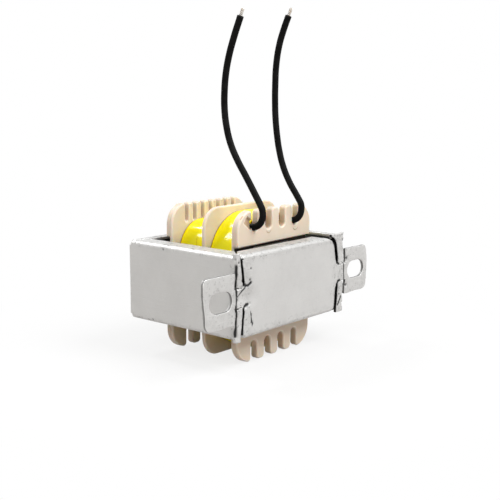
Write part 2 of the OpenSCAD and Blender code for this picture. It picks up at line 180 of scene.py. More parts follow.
# The lead groove in the front flange, whose faces are painted darker as shade: X, distance below the
# flange's edge, and depth of its faces
GROOVE_X = (-13, -9)
GROOVE_DOWN = (1, 5.5)
GROOVE_IN = (0.15, 0.7)
# Raised marks under two front slots: X and Z of the middle, and the radius
SLOT_MARKS = ((-2.6, 31.5, 1.0), (8.0, 31.1, 1.05))
# Radius of their bead, and the turns in degrees between which it runs
MARK_R = 0.16
MARK_TURN = (200, 340)

# The coils: corner radii, and the opening round the bobbin's tube with its corner radius
FRONT_COIL_R = 12
REAR_COIL_R = 8
COIL_HOLE = (15.1, 19.6)
COIL_HOLE_R = 1
# The tape: thickness, height of its crown and of a lap
TAPE_T = 0.3
TAPE_CROWN = 0.14
TAPE_LAP = 0.06
# The upper strip of tape: shares of the width between which each of its edges rises
LAP_RISES = (0.1, 0.13)
LAP_FALLS = (0.83, 0.86)
# Turn in degrees at which each tape ends, its change across the width, and the step's length
FRONT_TAPE_END = 118
REAR_TAPE_END = 112
END_SLANT = 26
END_STEP = 0.8
# Depth of ripples in the film and of puckers along its edges
RIPPLE = 0.03
PUCKER = 0.12
# Slanted crease in the back tape: turn in degrees and share of its width, at both ends, and depth
TAPE_CREASE = ((149, 0.47), (165, 0.41))
CREASE_DEPTH = 0.08
# Degrees of turn that count as one tape width, and the crease's core and edge in tape widths
CREASE_UNIT = 60
CREASE_W = (0.004, 0.022)
# A winding's end: number of layers, and for each its shares of the layer, depth and material
COIL_LAYERS = 10
LAYER = ((0.05, 0.14, 1), (0.4, 0.14, 1), (0.5, 0, 0), (0.92, 0, 0))


def mm_box(node):
    """Lowest and highest corner of a CAD node in millimetres."""
    low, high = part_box(node)
    return Vector(low) / MM, Vector(high) / MM


def ease(x, start, end):
    """Runs smoothly from 0 to 1 while x goes from start to end."""
    t = min(max((x - start) / (end - start), 0), 1)
    return t * t * (3 - 2 * t)


# Materials


class Shader:
    """A node material under construction, with its Principled shader at the end."""

    def __init__(self, name):
        self.material = bpy.data.materials.new(name)
        self.material.use_nodes = True
        self.nodes = self.material.node_tree.nodes
        self.links = self.material.node_tree.links
        self.surface = self.nodes["Principled BSDF"]
        self.coords = self.add("ShaderNodeTexCoord").outputs["Object"]

    def add(self, kind, inputs=None, **settings):
        """Adds a node: inputs by name are numbers, colours or sockets to link."""
        made = self.nodes.new(kind)
        for name, value in settings.items():
            setattr(made, name, value)
        for name, value in (inputs or {}).items():
            self.feed(made.inputs[name], value)
        return made

    def feed(self, socket, value):
        """Sets a socket to a value, or links it to another node's output."""
        if isinstance(value, bpy.types.NodeSocket):
            self.links.new(value, socket)
        else:
            socket.default_value = value

    def set(self, **values):
        """Sets inputs of the Principled shader; an underscore stands for a space."""
        for name, value in values.items():
            self.feed(self.surface.inputs[name.replace("_", " ")], value)

    def noise(self, per_mm, detail=3, rough=0.55, stretch=(1, 1, 1), turn=(0, 0, 0)):
        """Noise with this many grains in a millimetre, drawn out along an axis by a small stretch."""
        scale = [per_mm / MM * s for s in stretch]
        turned = [math.radians(a) for a in turn]
        place = self.add("ShaderNodeMapping", {
            "Vector": self.coords, "Rotation": turned, "Scale": scale})
        grain = self.add("ShaderNodeTexNoise", {
            "Vector": place.outputs["Vector"], "Scale": 1, "Detail": detail, "Roughness": rough})
        return grain.outputs["Fac"]

    def marked(self, name):
        """A value that the mesh carries at its points."""
        return self.add("ShaderNodeAttribute", attribute_name=name).outputs["Fac"]

    def times(self, a, b):
        """Product of two values."""
        return self.add("ShaderNodeMath", {0: a, 1: b}, operation="MULTIPLY").outputs["Value"]

    def ramp(self, fac, *stops):
        """Colour ramp through (position, value or colour) stops."""
        made = self.add("ShaderNodeValToRGB", {"Fac": fac})
        points = made.color_ramp.elements
        while len(points) < len(stops):
            points.new(0.5)
        for point, (at, value) in zip(points, stops):
            point.position = at
            colour = value if isinstance(value, tuple) else (value,) * 3
            point.color = (*colour, 1)
        return made.outputs["Color"]

    def blend(self, fac, a, b, how="MIX"):
        """Mixes two colours."""
        made = self.add("ShaderNodeMix", data_type="RGBA", blend_type=how)
        for socket, value in ((made.inputs[0], fac), (made.inputs[6], a), (made.inputs[7], b)):
            self.feed(socket, (*value, 1) if isinstance(value, tuple) else value)
        return made.outputs[2]

    def bump(self, height, depth, under=None):
        """Bump of a depth in millimetres, on top of another one."""
        inputs = {"Height": height, "Strength": 1, "Distance": depth * MM}
        if under:
            inputs["Normal"] = under
        return self.add("ShaderNodeBump", inputs).outputs["Normal"]


def shade(colour, by):
    """A colour made darker or lighter."""
    return tuple(c * by for c in colour)


DIRT_AND_SHADE_COLOUR = (0.008, 0.008, 0.008)


def tinplate(name, pale, rough):
    """Tinned sheet: cloudy, with rolling lines, specked and scratched where it was worked, and darkened
    by dirt and painted shade.
    """
    s = Shader(name)
    wear = s.marked("wear")
    cloud = s.noise(0.11, detail=5, rough=0.6)
    rolling = s.noise(0.5, detail=4, stretch=(0.08, 0.08, 6))
    scratch = s.noise(0.4, detail=3, stretch=(0.4, 0.4, 5), turn=(24, 38, 31))
    speck = s.noise(1.3, detail=3, rough=0.7)
    blotch = s.noise(0.55, detail=4, rough=0.7)
    tin = s.ramp(cloud, (0.3, shade(pale, 0.93)), (0.7, pale))
    tin = s.blend(s.ramp(rolling, (0.4, 0.0), (0.75, 0.16)), tin, shade(pale, 0.86))
    tin = s.blend(s.times(wear, s.ramp(blotch, (0.42, 0.0), (0.6, 0.55))), tin, shade(pale, 0.74))
    tin = s.blend(s.times(wear, s.ramp(speck, (0.57, 0.0), (0.66, 0.8))), tin, shade(pale, 0.42))
    bright = s.times(wear, s.ramp(scratch, (0.6, 0.0), (0.64, 0.35), (0.68, 0.0)))
    tin = s.blend(bright, tin, shade(pale, 1.3))
    # Dirt patches along the edges, and painted shade in the slits, along the ear rims and in the left
    # claws' split; creases, marks and knocks are darker too
    tin = s.blend(s.ramp(s.marked("dirt_and_shade"), (0.12, 0.0), (0.7, 1.0)), tin, DIRT_AND_SHADE_COLOUR)
    gloss = s.ramp(blotch, (0.3, rough - 0.07), (0.7, rough + 0.08))
    relief = s.bump(rolling, 0.005)
    relief = s.bump(s.ramp(speck, (0.58, 1.0), (0.7, 0.0)), 0.015, relief)
    relief = s.bump(s.ramp(scratch, (0.6, 0.0), (0.64, 1.0), (0.68, 0.0)), 0.008, relief)
    s.set(Base_Color=tin, Metallic=0.4, Roughness=gloss, Normal=relief)
    return s.material


def nylon(name, pale):
    """Moulded nylon: slightly see-through, with flow marks and a fine satin skin."""
    s = Shader(name)
    flow = s.noise(0.09, detail=4, rough=0.6, stretch=(1, 1, 0.5))
    darker = tuple(c * f for c, f in zip(pale, (0.94, 0.9, 0.85)))
    cloud = s.ramp(flow, (0.3, darker), (0.7, pale))
    speck = s.noise(1.8, detail=2)
    cream = s.blend(s.ramp(speck, (0.7, 0.0), (0.78, 0.35)), cloud, shade(pale, 0.72))
    skin = s.noise(6, detail=3)
    relief = s.bump(skin, 0.004, s.bump(flow, 0.03))
    s.set(Base_Color=cream, Roughness=s.ramp(flow, (0.3, 0.36), (0.7, 0.5)), Normal=relief,
          Subsurface_Weight=0.45, Subsurface_Radius=(1.0, 0.45, 0.25), Subsurface_Scale=1.2 * MM,
          Specular_IOR_Level=0.4)
    return s.material


def tape_film(name):
    """Polyester film tape: glossy yellow, deeper where its layers cross, with painted shade along its
    edges and a darker line along its crease.
    """
    s = Shader(name)
    patch = s.noise(0.11, detail=3)
    crease = s.noise(0.4, detail=3, stretch=(1, 0.35, 1))
    yellow = s.ramp(patch, (0.3, (1.0, 0.82, 0.0)), (0.7, (1.0, 0.92, 0.0)))
    yellow = s.blend(s.ramp(crease, (0.6, 0.0), (0.8, 0.2)), yellow, (0.95, 0.62, 0.0))
    # Painted shade along the edges, where the flanges meet the tape, and darker along the crease
    yellow = s.blend(s.ramp(s.marked("dirt_and_shade"), (0.1, 0.0), (0.9, 0.75)), yellow, (0.45, 0.2, 0.0))
    relief = s.bump(s.noise(1.1, detail=2), 0.008, s.bump(crease, 0.02))
    s.set(Base_Color=yellow, Roughness=s.ramp(crease, (0.3, 0.1), (0.75, 0.2)), Normal=relief,
          Specular_IOR_Level=0.22)
    return s.material


def film_edge(name):
    """Edges of the film between the layers of a winding, soaked with varnish in places."""
    s = Shader(name)
    soak = s.noise(0.5, detail=4)
    cream = s.ramp(soak, (0.35, (0.5, 0.33, 0.12)), (0.65, (0.78, 0.62, 0.3)))
    s.set(Base_Color=cream, Roughness=s.ramp(soak, (0.3, 0.35), (0.7, 0.6)),
          Normal=s.bump(s.noise(2.5), 0.03))
    return s.material


def enamelled_wire(name):
    """Turns of fine enamelled copper wire."""
    s = Shader(name)
    turns = s.noise(4, detail=2)
    copper = s.ramp(turns, (0.35, (0.2, 0.07, 0.02)), (0.65, (0.5, 0.22, 0.08)))
    s.set(Base_Color=copper, Metallic=0.5, Roughness=s.ramp(turns, (0.3, 0.3), (0.7, 0.5)),
          Normal=s.bump(turns, 0.04))
    return s.material


def core_varnish(name):
    """Silicon steel under dark varnish, with blotches and a few dry patches."""
    s = Shader(name)
    blotch = s.noise(0.22, detail=5, rough=0.65)
    fine = s.noise(3, detail=3)
    dark = s.ramp(blotch, (0.3, (0.004, 0.004, 0.004)), (0.7, (0.012, 0.011, 0.011)))
    dark = s.blend(s.ramp(fine, (0.66, 0.0), (0.8, 0.5)), dark, (0.035, 0.032, 0.03))
    s.set(Base_Color=dark, Roughness=s.ramp(blotch, (0.3, 0.6), (0.7, 0.8)),
          Normal=s.bump(fine, 0.012, s.bump(blotch, 0.03)), Specular_IOR_Level=0.04)
    return s.material


def lead_jacket(name):
    """Soft black jacket with drawing lines and handling marks."""
    s = Shader(name)
    scuff = s.noise(0.5, detail=4, rough=0.6)
    skin = s.noise(5, detail=3, stretch=(1, 1, 0.25))
    black = s.ramp(scuff, (0.35, (0.004, 0.004, 0.004)), (0.7, (0.011, 0.011, 0.011)))
    s.set(Base_Color=black, Roughness=s.ramp(scuff, (0.3, 0.38), (0.7, 0.55)),
          Normal=s.bump(skin, 0.01, s.bump(scuff, 0.03)), Specular_IOR_Level=0.04)
    return s.material


def tinned_wire(name):
    """Tinned copper strands, with copper showing faintly where the tin is thin."""
    s = Shader(name)
    worn = s.noise(2, detail=4)
    tin = s.ramp(worn, (0.4, (0.6, 0.59, 0.56)), (0.75, (0.5, 0.38, 0.28)))
    s.set(Base_Color=tin, Metallic=1.0, Roughness=s.ramp(worn, (0.3, 0.25), (0.7, 0.42)),
          Normal=s.bump(s.noise(6), 0.006))
    return s.material


TINPLATE = tinplate("tinplate", (0.6, 0.6, 0.59), 0.42)
# Rounded cut edges: a lighter copy of the tinplate, a painted highlight
EDGE_HIGHLIGHT = tinplate("tinplate_edge_highlight", (0.7, 0.7, 0.69), 0.32)
NYLON = nylon("nylon", (0.73, 0.64, 0.53))
# Rims: a paler copy of the nylon, a painted highlight along the rounded edges and slot rims
NYLON_RIM_HIGHLIGHT = nylon("nylon_rim_highlight", (0.82, 0.74, 0.64))
# Near-black nylon: painted shade on the flanges' faces between the yokes
NYLON_YOKE_SHADE = nylon("nylon_yoke_shade", (0.035, 0.024, 0.016))
# Darker nylon: painted shade in the lead groove, also taken by the raised arcs under the slots
NYLON_GROOVE_SHADE = nylon("nylon_groove_shade", (0.6, 0.44, 0.3))
TAPE = tape_film("tape")
FILM_EDGE = film_edge("film_edge")
WIRE = enamelled_wire("wire")
VARNISH = core_varnish("core_varnish")
JACKET = lead_jacket("lead_jacket")
TINNED = tinned_wire("tinned_strands")


# Pieces


def add_piece(name, data, slot, *nodes):
    """Links a new piece that rides on the part and stands for CAD nodes."""
    piece = bpy.data.objects.new(name, data)
    bpy.context.scene.collection.objects.link(piece)
    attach(piece, "root")
    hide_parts(*nodes)
    return piece


def mesh_from(bm, name, *materials):
    """Smooth-shaded mesh from a bmesh, which it frees."""
    bmesh.ops.recalc_face_normals(bm, faces=bm.faces)
    for face in bm.faces:
        face.smooth = True
    mesh = bpy.data.meshes.new(name)
    bm.to_mesh(mesh)
    bm.free()
    for material in materials:
        mesh.materials.append(material)
    return mesh


def node_solid(node):
    """A CAD node as a bmesh, with its seams closed and its flat faces whole."""
    bm = bmesh.new()
    bm.from_mesh(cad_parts[node].data)
    bmesh.ops.remove_doubles(bm, verts=bm.verts, dist=1e-7)
    bmesh.ops.dissolve_limit(bm, angle_limit=math.radians(0.5), verts=bm.verts, edges=bm.edges)
    for face in bm.faces:
        face.material_index = 0
    return bm


def round_edges(bm, radius, segments, weld=False):
    """Rounds the sharp edges; the new faces take the second material. Welds what folds over."""
    turns = {e: math.degrees(e.calc_face_angle(0)) for e in bm.edges}
    sharp = [e for e in bm.edges if turns[e] > SHARP]
    blunt = [v.co.copy() for e in bm.edges if BLUNT < turns[e] <= SHARP for v in e.verts]
    bmesh.ops.bevel(bm, geom=sharp, offset=radius * MM, offset_type="OFFSET", segments=segments,
                    profile=0.5, affect="EDGES", clamp_overlap=False, material=1)
    if weld:
        folded = [v for v in bm.verts if any((v.co - b).length < WELD_REACH * MM for b in blunt)]
        bmesh.ops.remove_doubles(bm, verts=folded, dist=WELD * MM)


def keep_flat(piece):
    """Lets large flat faces set the shading of their rounded edges."""
    flat = piece.modifiers.new("flat_faces", "WEIGHTED_NORMAL")
    flat.weight = 100


def skin_rings(bm, rings, wrap=False, material=0):
    """Joins closed rings of points with faces; wrap joins the last ring to the first."""
    pairs = list(zip(rings, rings[1:])) + ([(rings[-1], rings[0])] if wrap else [])
    for below, above in pairs:
        for i in range(len(below)):
            face = bm.faces.new((below[i - 1], below[i], above[i], above[i - 1]))
            face.material_index = material if isinstance(material, int) else material[i]


# Camera and leads


def make_camera():
    """Camera at the photograph's view, with its roll."""
    yaw, pitch, roll = (math.radians(a) for a in (CAMERA_YAW, CAMERA_PITCH, CAMERA_ROLL))
    level = Vector((math.cos(yaw), -math.sin(yaw), 0))
    ahead = Vector((math.sin(yaw), math.cos(yaw), 0)) * math.cos(pitch) - Vector((0, 0, math.sin(pitch)))
    upright = level.cross(ahead)
    right = level * math.cos(roll) + upright * math.sin(roll)
    up = upright * math.cos(roll) - level * math.sin(roll)
    camera = bpy.data.objects.new("camera", bpy.data.cameras.new("camera"))
    bpy.context.scene.collection.objects.link(camera)
    camera.data.sensor_width = SENSOR
    camera.data.lens = FOCAL_PX * SENSOR / PICTURE_PX
    camera.data.clip_start = 0.01
    turned = Matrix((right, up, -ahead)).transposed().to_4x4()
    camera.matrix_world = Matrix.Translation(Vector(CAMERA_AT) * MM) @ turned
    bpy.context.scene.camera = camera


def strands(name, points):
    """Twisted strands that stand out of the end of a lead."""
    ahead = (points[-1] - points[-2]).normalized()
    across = Vector((1, 0, 0))
    aside = ahead.cross(across)
    strand_r = TIP_D * MM / 6
    rows, sides, twist = 9, 10, math.radians(STRAND_TWIST)
    bm = bmesh.new()
    for k in range(STRANDS):
        reach = 0 if k == STRANDS - 1 else 2 * strand_r
        rings = []
        for i in range(rows):
            along = i / (rows - 1)
            lift = ahead * (along * TIP_LEN * MM * (1 - 0.03 * (k % 3)))
            turn = math.tau * k / (STRANDS - 1) + twist * along
            middle = points[-1] + lift + (across * math.cos(turn) + aside * math.sin(turn)) * reach
            size = strand_r * (1 if i < rows - 1 else 0.7)
            rings.append([bm.verts.new(middle + (across * math.cos(a) + aside * math.sin(a)) * size)
                          for a in (math.tau * j / sides for j in range(sides))])
        skin_rings(bm, rings)
        bm.faces.new(rings[0])
        bm.faces.new(rings[-1])
    return mesh_from(bm, name, TINNED)


def make_lead(side, x, route):
    """Flying lead as a round curve along its route, and the strands at its end."""
    points = [Vector((x, y, z)) * MM for y, z in route]
    curve = bpy.data.curves.new(side + "_jacket", "CURVE")
    curve.dimensions = "3D"
    curve.bevel_depth = LEAD_D / 2 * MM
    curve.bevel_resolution = 6
    curve.resolution_u = 8
    curve.use_fill_caps = True
    spline = curve.splines.new("BEZIER")
    spline.bezier_points.add(len(points) - 1)
    for knot, point in zip(spline.bezier_points, points):
        knot.co = point
        knot.handle_left_type = knot.handle_right_type = "AUTO"
    curve.materials.append(JACKET)
    jacket = add_piece(side + "_jacket", curve, "lead_jacket", side + "_lead")
    name = side + "_strands"
    tip = add_piece(name, strands(name, points), "tinned_strands", "tinned_ends")


make_camera()
make_lead("left", -LEAD_X, LEFT_ROUTE)
make_lead("right", LEAD_X, RIGHT_ROUTE)


# Folded frame

FRAME_LOW, FRAME_HIGH = mm_box("u_strap")
PLATE_LOW, PLATE_HIGH = mm_box("base_plate")
FRONT = PLATE_LOW.y
FRAME_TOP = PLATE_HIGH.z
MIDDLE_Z = (PLATE_LOW.z + PLATE_HIGH.z) / 2
EAR_START = FRAME_HIGH.x + 0.4
EAR_END = PLATE_HIGH.x


def cut_grid(bm, pitch, zone=None):
    """Cuts the faces in a zone along the planes of a square grid, so that dents have points to move."""
    for axis in range(3):
        across = Vector(float(axis == k) for k in range(3))
        faces = [f for f in bm.faces if zone is None or zone(f.calc_center_median() / MM)]
        parts = list(dict.fromkeys(part for f in faces for part in (*f.verts, *f.edges, f)))
        places = [v.co[axis] for f in faces for v in f.verts]
        low, high = min(places), max(places)
        for i in range(1, int((high - low) / pitch / MM)):
            made = bmesh.ops.bisect_plane(bm, geom=parts, dist=1e-8, plane_no=across,
                                          plane_co=across * (low + i * pitch * MM))
            parts = made["geom"]


def line_gap(at, line):
    """Distance of a point from a line through several points."""
    gaps = []
    for a, b in zip(line, line[1:]):
        run = Vector(b) - Vector(a)
        along = (at - Vector(a)).dot(run) / run.length_squared
        gaps.append((at - Vector(a) - run * min(max(along, 0), 1)).length)
    return min(gaps)


def front_damage(p):
    """Depth of the creases and punch marks at a point of the sheet, and how much they are darkened."""
    at = Vector((p.x, p.z))
    depth, darkening = 0, 0
    behind = p.y > FRONT + 1.2 * SHEET_T
    if behind:
        return depth, darkening
    uneven = 1 + 0.45 * noise.noise(p * 0.9 + Vector((5, 0, 0)))
    for line, half_w, deep in CREASES:
        t = line_gap(at, line) / half_w / uneven
        if t < MARK_REACH:
            depth += deep * max(1 - t, 0)
            darkening = max(darkening, 1.15 - t)
    for x, z, r, deep in PUNCHES:
        t = (at - Vector((x, z))).length / r
        if t < MARK_REACH:
            depth += deep * math.cos(min(t, 1) * math.pi / 2)
            darkening = max(darkening, 0.95 - t)
    return depth, max(darkening, 0)


def side_damage(p):
    """Depth of the handling marks on the sides of the frame, and how much they are darkened."""
    depth, darkening = 0, 0
    for side, y, z, r, deep in SIDE_MARKS:
        t = (Vector((p.y, p.z)) - Vector((y, z))).length / r
        if t < MARK_REACH and side * p.x > FRAME_HIGH.x - SHEET_T / 2:
            depth += side * deep * math.cos(min(t, 1) * math.pi / 2)
            darkening = max(darkening, 0.7 - t)
    return depth, darkening


def edge_dirt(p):
    """Patches of dirt along the long edges of the folded sheet."""
    edge = min(p.z - FRAME_LOW.z, FRAME_HIGH.z - p.z)
    patch = ease(noise.noise(p * 1.3) + 0.5 * noise.noise(p * 3.1), 0.25, 0.7)
    return 0.5 * patch * ease(edge, 0.0, 0.3) * (1 - ease(edge, 0.5, 1.7))


def slit_shade(p):
    """Painted shade inside the slits beside the claws."""
    if p.y > FRONT + 2 or abs(p.x) < CLAW_START:
        return 0
    gap = min(line_gap(Vector((p.x, p.z)), line) for line in SLITS)
    gap -= SLIT_W / 2 + (0.12 if p.x > 0 else 0)
    below_face = 0.3 + 0.7 * ease(p.y, FRONT, FRONT + 0.1)
    return (1 - ease(gap, 0.1, 0.34)) * below_face * (1 - ease(p.y, FRONT + 1.6, FRONT + 2))


def ear_rim_shadow(p):
    """Painted shadow along the cut edges of the ears."""
    side = ease(p.y, FRONT + 0.01, FRONT + 0.1) * (1 - ease(p.y, FRONT + 0.5, FRONT + 0.75))
    return 0.55 * side * (abs(p.x) > EAR_START)


def worked(p):
    """How hard the sheet was worked at a point: most at the claws and necks, least in the middle."""
    front = 1 - ease(p.y, FRONT + 1.2, FRONT + 3.2)
    return front * ease(abs(p.x), *CRIMPED)


def corner_split(p):
    """Split along the fold of the left claws, sunk in and darkened with painted shade: 1 in its middle.
    """
    fold = Vector((FRAME_LOW.x + FOLD_R, FRONT + FOLD_R))
    out = Vector((p.x, p.y)) - fold
    if out.x > -0.2 or out.y > -0.2 or p.x > 0:
        return 0
    sway = SPLIT_W * math.sin(p.z * 0.55) * ease(p.z, 20, 12)
    turn = math.degrees(math.atan2(-out.y, -out.x)) - SPLIT_TURN - sway
    ends = ease(p.z, 8.8, 9.6) * (1 - ease(p.z, 25.2, 26.4))
    flare = max(ease(p.z, 22.5, 24), 1 - ease(p.z, 10.5, 12.5), 0.3 * math.sin(p.z * 2.1))
    return math.exp(-(turn / (SPLIT_W + SPLIT_FLARE * flare)) ** 2) * ends


def neck_hollow(p):
    """Depth of the hollow round the left neck."""
    x, z, half_w, half_h, deep = NECK_HOLLOW
    off = Vector(((p.x - x) / half_w, (p.z - z) / half_h)).length
    return deep * math.cos(min(off, 1) * math.pi / 2) ** 2


def fold_knock(p):
    """Depth of the knocks in the fold of the right claws."""
    out = Vector((p.x - FRAME_HIGH.x + FOLD_R, FRONT + FOLD_R - p.y))
    if out.x < 0 or out.y < 0:
        return 0
    middle = math.sin(2 * math.atan2(out.y, out.x))
    depths = [deep * math.cos(min(abs(p.z - z) / half, 1) * math.pi / 2) for z, half, deep in KNOCKS]
    return middle * max(depths)


def drawn_slit(p, on_strap):
    """Sideways move that widens the slits beside the right claws."""
    if p.x < 0 or p.y > FRONT + FOLD_R:
        return 0
    if on_strap:
        return SLIT_DRAWN * (1 - ease(p.x, *CLAW_DRAWN))
    past_neck = ease(abs(p.z - MIDDLE_Z), 3, 3.8)
    return -SLIT_DRAWN * ease(p.x, *PLATE_DRAWN) * past_neck


def open_corner(p, on_strap):
    """Sideways move that rounds the right upper corner and draws the strap's lip back from it."""
    if p.x < 0 or p.z < CORNER_FROM:
        return 0
    on_lip = ease(p.y, FRONT + 0.2, FRONT + FOLD_R) * ease(p.z, 26.2, 27)
    rise = min((p.z - CORNER_FROM) / (FRAME_TOP - CORNER_FROM), 1)
    turn = 1 - math.sqrt(1 - max(rise, on_lip) ** 2)
    if not on_strap:
        return -PLATE_ROUND * turn * ease(p.x, *PLATE_BENDS)
    claw = CLAW_ROUND * turn * (1 - ease(p.y, FRONT + 0.8, FRONT + 2.4)) * (1 - ease(p.x, *CLAW_BENDS))
    along = ease(p.y, FRONT + 1, FRONT + 3) * (1 - ease(p.y, *LIP_FADES))
    lip = LIP_BACK * along * (1 - ease(p.x, *LIP_BENDS)) * ease(p.z, 26.5, 27)
    return lip - claw


def dent(p, on_strap):
    """How a point of the frame is moved by handling and crimping."""
    size, deep = WAVES
    move = noise.noise_vector(p / size) * deep
    hard = worked(p)
    for size, deep, start in CRIMP_WAVES:
        move += noise.noise_vector(p / size + Vector(start)) * deep * hard
    skin = 1 - ease(p.y, FRONT, FRONT + SHEET_T)
    move.y += front_damage(p)[0] * skin
    move.x -= side_damage(p)[0]
    if on_strap:
        move += Vector((-0.7, 0.7, 0)) * fold_knock(p)
    else:
        move.y += neck_hollow(p)
    move.x += open_corner(p, on_strap) + drawn_slit(p, on_strap)
    move += Vector((SPLIT_DEPTH, SPLIT_DEPTH, 0)) * corner_split(p)
    out = (-p.x - EAR_START) / (EAR_END - EAR_START)
    if out > 0:
        high = ease(p.z, EAR_LOW, EAR_HIGH)
        move.y += EAR_BACK * out * high
        move.x += EAR_IN * out * (1 - high)
    return move


def plate_wear(p):
    """Wear of the base plate: along its edges, round the claws and on the ears."""
    edge = min(p.z - PLATE_LOW.z, PLATE_HIGH.z - p.z)
    ends = ease(abs(p.x), 14.5, 17.5) - 0.4 * ease(abs(p.x), EAR_START, EAR_START + 2)
    return max(1 - ease(edge, 0.6, 2.6), ends, 0.06)


def strap_wear(p):
    """Wear of the strap: along its edges and folds, and on the claws."""
    edge = min(p.z - FRAME_LOW.z, FRAME_HIGH.z - p.z)
    corner = max(FRAME_HIGH.x - abs(p.x), FRAME_HIGH.y - p.y)
    claws = 1 - ease(p.y - FRONT, 1, 2.5)
    return max(1 - ease(edge, 0.8, 2.2), claws, 0.8 - ease(corner, 0.2, 1.6), 0.05)


def claw_zone(p):
    """Where the sheet is cut finely: round the claws and necks."""
    return CLAW_START < abs(p.x) < EAR_START + 0.9 and p.y < FRONT + SHEET_T + 0.5


def sheet_piece(node, name, wear_at):
    """A folded sheet with rolled edges, dented as the crimping press left it."""
    bm = node_solid(node)
    round_edges(bm, SHEET_EDGE, 2)
    cut_grid(bm, DENT_PITCH)
    cut_grid(bm, CLAW_PITCH, claw_zone)
    on_strap = node == "u_strap"
    wear = bm.verts.layers.float.new("wear")
    dirt_and_shade = bm.verts.layers.float.new("dirt_and_shade")
    low, high = mm_box(node)
    for v in bm.verts:
        p = v.co / MM
        skin = 1 - ease(p.y, FRONT + 0.1, FRONT + SHEET_T)
        v[wear] = wear_at(p)
        # Darkening: painted shade in the slits, along the ear rims and in the left claws' split, dirt
        # patches along the edges, and darker creases, marks and knocks
        darkening = [front_damage(p)[1] * skin, slit_shade(p), ear_rim_shadow(p), edge_dirt(p)]
        if on_strap:
            darkening += [corner_split(p), side_damage(p)[1], 1.6 * fold_knock(p) - 0.25]
        v[dirt_and_shade] = max(darkening)
        moved = p + dent(p, on_strap)
        v.co = Vector(min(max(m, a), b) for m, a, b in zip(moved, low, high)) * MM
    keep_flat(add_piece(name, mesh_from(bm, name, TINPLATE, EDGE_HIGHLIGHT), "tinplate", node))


sheet_piece("base_plate", "plate", plate_wear)
sheet_piece("u_strap", "strap", strap_wear)


# Core


def stack_piece(node):
    """A stack of core sheets with stamped edges."""
    bm = node_solid(node)
    round_edges(bm, CORE_EDGE, 1)
    name = node + "_stack"
    keep_flat(add_piece(name, mesh_from(bm, name, VARNISH, VARNISH), "core_steel", node))


for layer in ("e_sheets_front", "e_sheets_back", "i_sheets_front", "i_sheets_back"):
    stack_piece(layer)


# Bobbin


def slot_mark(bm, x, z, radius, y):
    """Raised arc on the flange's face, under a slot."""
    steps, sides = 18, 8
    start, end = MARK_TURN
    inward = Vector((0, 1, 0))
    rings = []
    for i in range(steps + 1):
        a = math.radians(start + (end - start) * i / steps)
        out = Vector((math.cos(a), 0, math.sin(a)))
        size = MARK_R * math.sin(math.pi * (i + 0.6) / (steps + 1.2)) ** 0.4
        ring = []
        for j in range(sides):
            b = math.tau * j / sides
            at = out * (radius + size * math.cos(b)) + inward * size * math.sin(b)
            ring.append(bm.verts.new((Vector((x, y, z)) + at) * MM))
        rings.append(ring)
    # The arcs take the third material, the darker nylon of the lead groove
    skin_rings(bm, rings, material=2)
    for cap in (rings[0], rings[-1]):
        bm.faces.new(cap).material_index = 2


def inside(value, span):
    """Whether a value lies between the two ends of a span."""
    return span[0] < value < span[1]


def sag_pad(bm):
    """Lowers the edge of the front flange's pad towards the frame, most on the left."""
    for v in bm.verts:
        p = v.co / MM
        if p.y < -BETWEEN_YOKES and p.z > FRAME_TOP + 0.2:
            edge = 1 - ease(p.z, FRAME_TOP + 0.5, FRAME_TOP + PAD_REACH)
            v.co.z -= (PAD_SAG - PAD_SLOPE * p.x) * edge * MM


def make_bobbin():
    """Moulded bobbin with round rims painted paler as a highlight, a lead groove painted darker as shade
    and faces between the yokes painted near-black as shade.
    """
    bm = node_solid("bobbin")
    round_edges(bm, NYLON_EDGE, 4, weld=True)
    sag_pad(bm)
    low, high = mm_box("bobbin")
    between = (BETWEEN_YOKES, BETWEEN_YOKES + 0.4)
    for face in bm.faces:
        p = face.calc_center_median() / MM
        # Faces of the lead groove take the darker nylon, painted shade
        if inside(p.x, GROOVE_X) and inside(high.z - p.z, GROOVE_DOWN) and inside(p.y - low.y, GROOVE_IN):
            face.material_index = 2
        # Faces between the yokes take the near-black nylon, painted shade
        if face.normal.y * p.y > 0.9 * abs(p.y) and inside(abs(p.y), between):
            face.material_index = 3
    for x, z, radius in SLOT_MARKS:
        slot_mark(bm, x, z, radius, low.y + MARK_R * 0.4)
    mesh = mesh_from(bm, "bobbin_moulding", NYLON, NYLON_RIM_HIGHLIGHT, NYLON_GROOVE_SHADE, NYLON_YOKE_SHADE)
    keep_flat(add_piece("bobbin_moulding", mesh, "nylon", "bobbin"))


make_bobbin()


# Coils


def coil_loop(low, high, radius, arcs, runs):
    """Points of an upright rounded rectangle with their outward directions, as X and Z."""
    loop = []
    middle = Vector(((low.x + high.x) / 2, (low.z + high.z) / 2))
    reach = Vector((high.x - middle.x - radius, high.z - middle.y - radius))
    for quarter, (sx, sz) in enumerate(((1, 1), (-1, 1), (-1, -1), (1, -1))):
        corner = middle + Vector((sx * reach.x, sz * reach.y))
        for i in range(arcs + 1):
            a = math.pi / 2 * (quarter + i / arcs)
            out = Vector((math.cos(a), math.sin(a)))
            loop.append((corner + out * radius, out))
        run = 2 * (reach.x if quarter % 2 == 0 else reach.y)
        for i in range(1, runs):
            ahead = Vector((-out.y, out.x)) * run * i / runs
            loop.append((corner + out * radius + ahead, out))
    return loop


